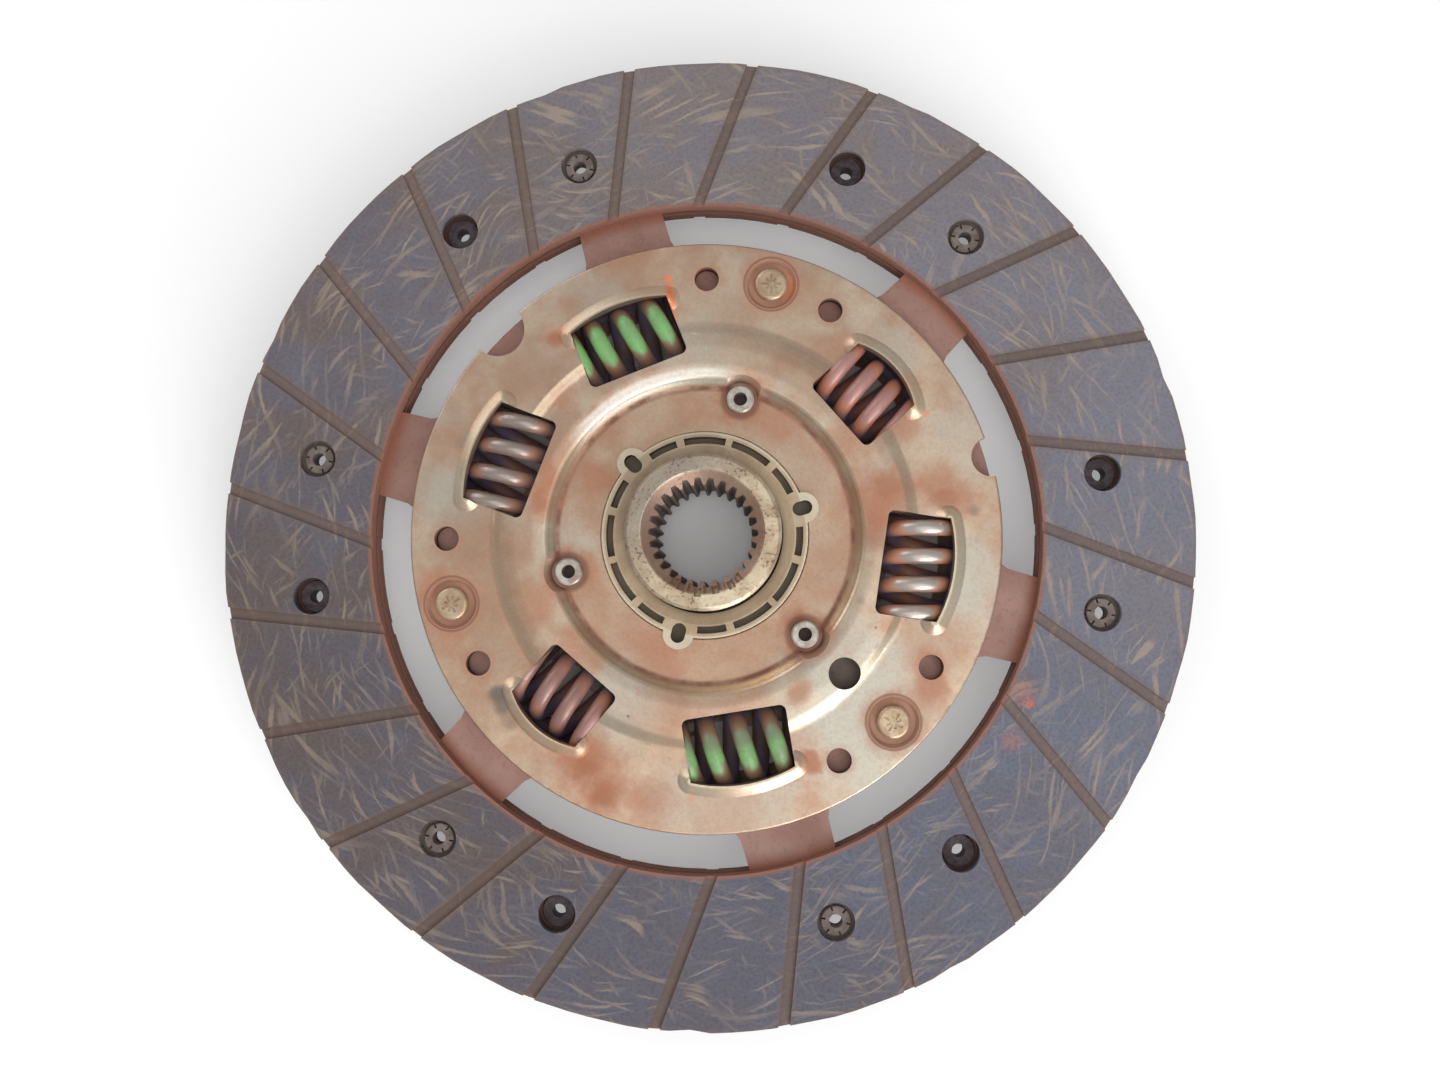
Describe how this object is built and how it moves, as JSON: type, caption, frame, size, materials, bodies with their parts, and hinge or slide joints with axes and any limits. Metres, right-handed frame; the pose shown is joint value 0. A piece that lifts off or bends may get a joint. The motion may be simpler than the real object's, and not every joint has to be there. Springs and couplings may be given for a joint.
{
  "type": "clutch disc",
  "caption": "Round sprung clutch disc: riveted grooved friction facings on a waved disc, coil springs in windowed plates, splined hub.",
  "frame": {"origin": "on the axis, at the hub's rear face, which the disc rests on", "axes": "+Z along the axis towards the gearbox side, +Y through the first stop pin"},
  "size_m": [0.2196, 0.2196, 0.0295],
  "materials": {
    "hub_steel": "turned steel with rust stains",
    "plated_steel": "yellowed zinc plating with rust bloom",
    "spring_steel": "dull rust brown",
    "friction_lining": "matt fibre composite, worn",
    "rivet_steel": "dull",
    "pin_steel": "staked end, satin",
    "eyelet_steel": "satin",
    "bush_plastic": "moulded, oil stained",
    "green_coil": "worn paint",
    "grey_coil": "bare with rust",
    "pink_coil": "worn paint and rust"
  },
  "bodies": {
    "disc": {"front_retainer_plate": "plated_steel", "rear_retainer_plate": "plated_steel", "cushion_disc": "spring_steel", "front_facing": "friction_lining", "rear_facing": "friction_lining", "front_facing_rivets": "rivet_steel", "rear_facing_rivets": "rivet_steel", "stop_pins": "pin_steel", "eyelets": "eyelet_steel", "front_bush": "bush_plastic", "rear_bush": "bush_plastic", "pressure_ring": "spring_steel", "disc_spring": "spring_steel"},
    "hub": {"hub": "hub_steel"},
    "springs": {"spring_green_1": "green_coil", "spring_green_2": "green_coil", "spring_grey_1": "grey_coil", "spring_grey_2": "grey_coil", "spring_pink_1": "pink_coil", "spring_pink_2": "pink_coil"}
  },
  "joints": [
    {"name": "hub_twist", "type": "hinge", "parent": "disc", "child": "hub", "pos_m": [0, 0, 0.012], "axis": [0, 0, 1], "range_deg": [-8, 8], "stiffness_Nm_per_rad": 2, "deforming": ["spring_green_1", "spring_green_2", "spring_grey_1", "spring_grey_2", "spring_pink_1", "spring_pink_2"]},
    {"name": "spring_shift", "type": "hinge", "parent": "disc", "child": "springs", "pos_m": [0, 0, 0.012], "axis": [0, 0, 1], "range_deg": [-4, 4]}
  ],
  "couplings": [
    {"joint": "spring_shift", "follows": "hub_twist", "ratio": 0.5}
  ]
}
